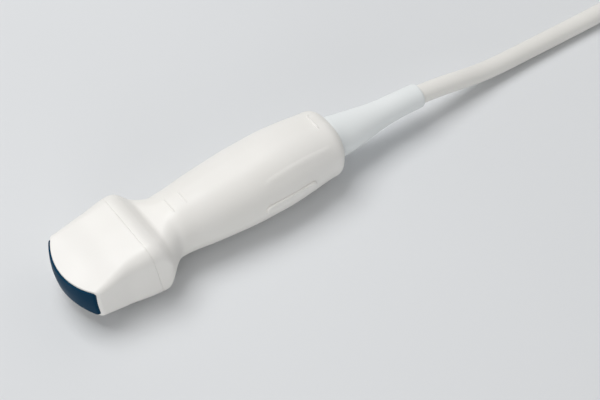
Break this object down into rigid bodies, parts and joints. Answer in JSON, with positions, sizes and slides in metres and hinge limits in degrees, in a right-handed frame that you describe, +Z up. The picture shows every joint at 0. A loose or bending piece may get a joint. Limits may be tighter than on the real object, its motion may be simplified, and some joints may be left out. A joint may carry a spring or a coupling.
{
  "type": "ultrasound transducer probe",
  "caption": "Handheld convex ultrasound probe: wedge-shaped head with a curved lens, oval grip, strain relief, long cord tied in a hank, and a flat plug with a lock lever.",
  "frame": {"origin": "under the middle of the probe without its cord, on the surface it lies on", "axes": "+X from the lens along the handle to the cord, +Y to the probe's left seen from the cord's end, +Z up"},
  "size_m": [0.4461, 0.0754, 0.0516],
  "materials": {
    "lens_rubber": "satin silicone, dark blue",
    "housing_plastic": "fine satin, warm white",
    "seal_rubber": "matt grey",
    "relief_rubber": "satin, cool white",
    "cable_jacket": "smooth satin, pale warm grey",
    "matching_layer": "ground filled resin",
    "piezo_ceramic": "matt fired ceramic",
    "backing_resin": "matt black",
    "black_plastic": "moulded, matt black",
    "flex_film": "glossy amber film",
    "board_resin": "green solder mask",
    "socket_plastic": "moulded, ivory",
    "screw_steel": "turned and plated",
    "shield_metal": "tinned sheet",
    "coax_leads": "fine insulated leads",
    "ferrule_brass": "crimped, plated",
    "strap_fabric": "woven hook and loop",
    "plug_plastic": "fine texture, light grey",
    "contact_gold": "gold-plated, smooth",
    "lever_plastic": "smooth dark grey"
  },
  "bodies": {
    "probe": {"acoustic_lens": "lens_rubber", "matching_layer_outer": "matching_layer", "matching_layer_inner": "matching_layer", "piezo_elements": "piezo_ceramic", "backing_block": "backing_resin", "array_carrier": "black_plastic", "nose_housing": "housing_plastic", "seam_gasket": "seal_rubber", "grip_upper_shell": "housing_plastic", "grip_lower_shell": "housing_plastic", "flex_circuit_upper": "flex_film", "flex_circuit_lower": "flex_film", "interconnect_board": "board_resin", "flex_sockets": "socket_plastic", "board_chips": "black_plastic", "board_screws": "screw_steel", "shield_upper": "shield_metal", "shield_lower": "shield_metal", "coax_bundle": "coax_leads", "crimp_ferrule": "ferrule_brass", "cable_clamp_base": "black_plastic", "cable_clamp_cap": "black_plastic", "clamp_screws": "screw_steel", "cable_tail": "cable_jacket", "strain_relief": "relief_rubber", "cable_free": "cable_jacket", "cable_hank": "cable_jacket", "cable_lead": "cable_jacket", "hank_ties": "strap_fabric", "plug_upper_shell": "plug_plastic", "plug_lower_shell": "plug_plastic", "contact_block": "black_plastic", "contact_pads": "contact_gold", "plug_board": "board_resin", "plug_relief": "relief_rubber", "plug_cable_tail": "cable_jacket", "plug_screws": "screw_steel"},
    "lock": {"lock_lever": "lever_plastic", "lock_cam": "screw_steel"}
  },
  "joints": [
    {"name": "lock_turn", "type": "hinge", "parent": "probe", "child": "lock", "pos_m": [0.32497, -0.00451, 0.0357], "axis": [0, 0, 1], "range_deg": [0, 90]}
  ]
}
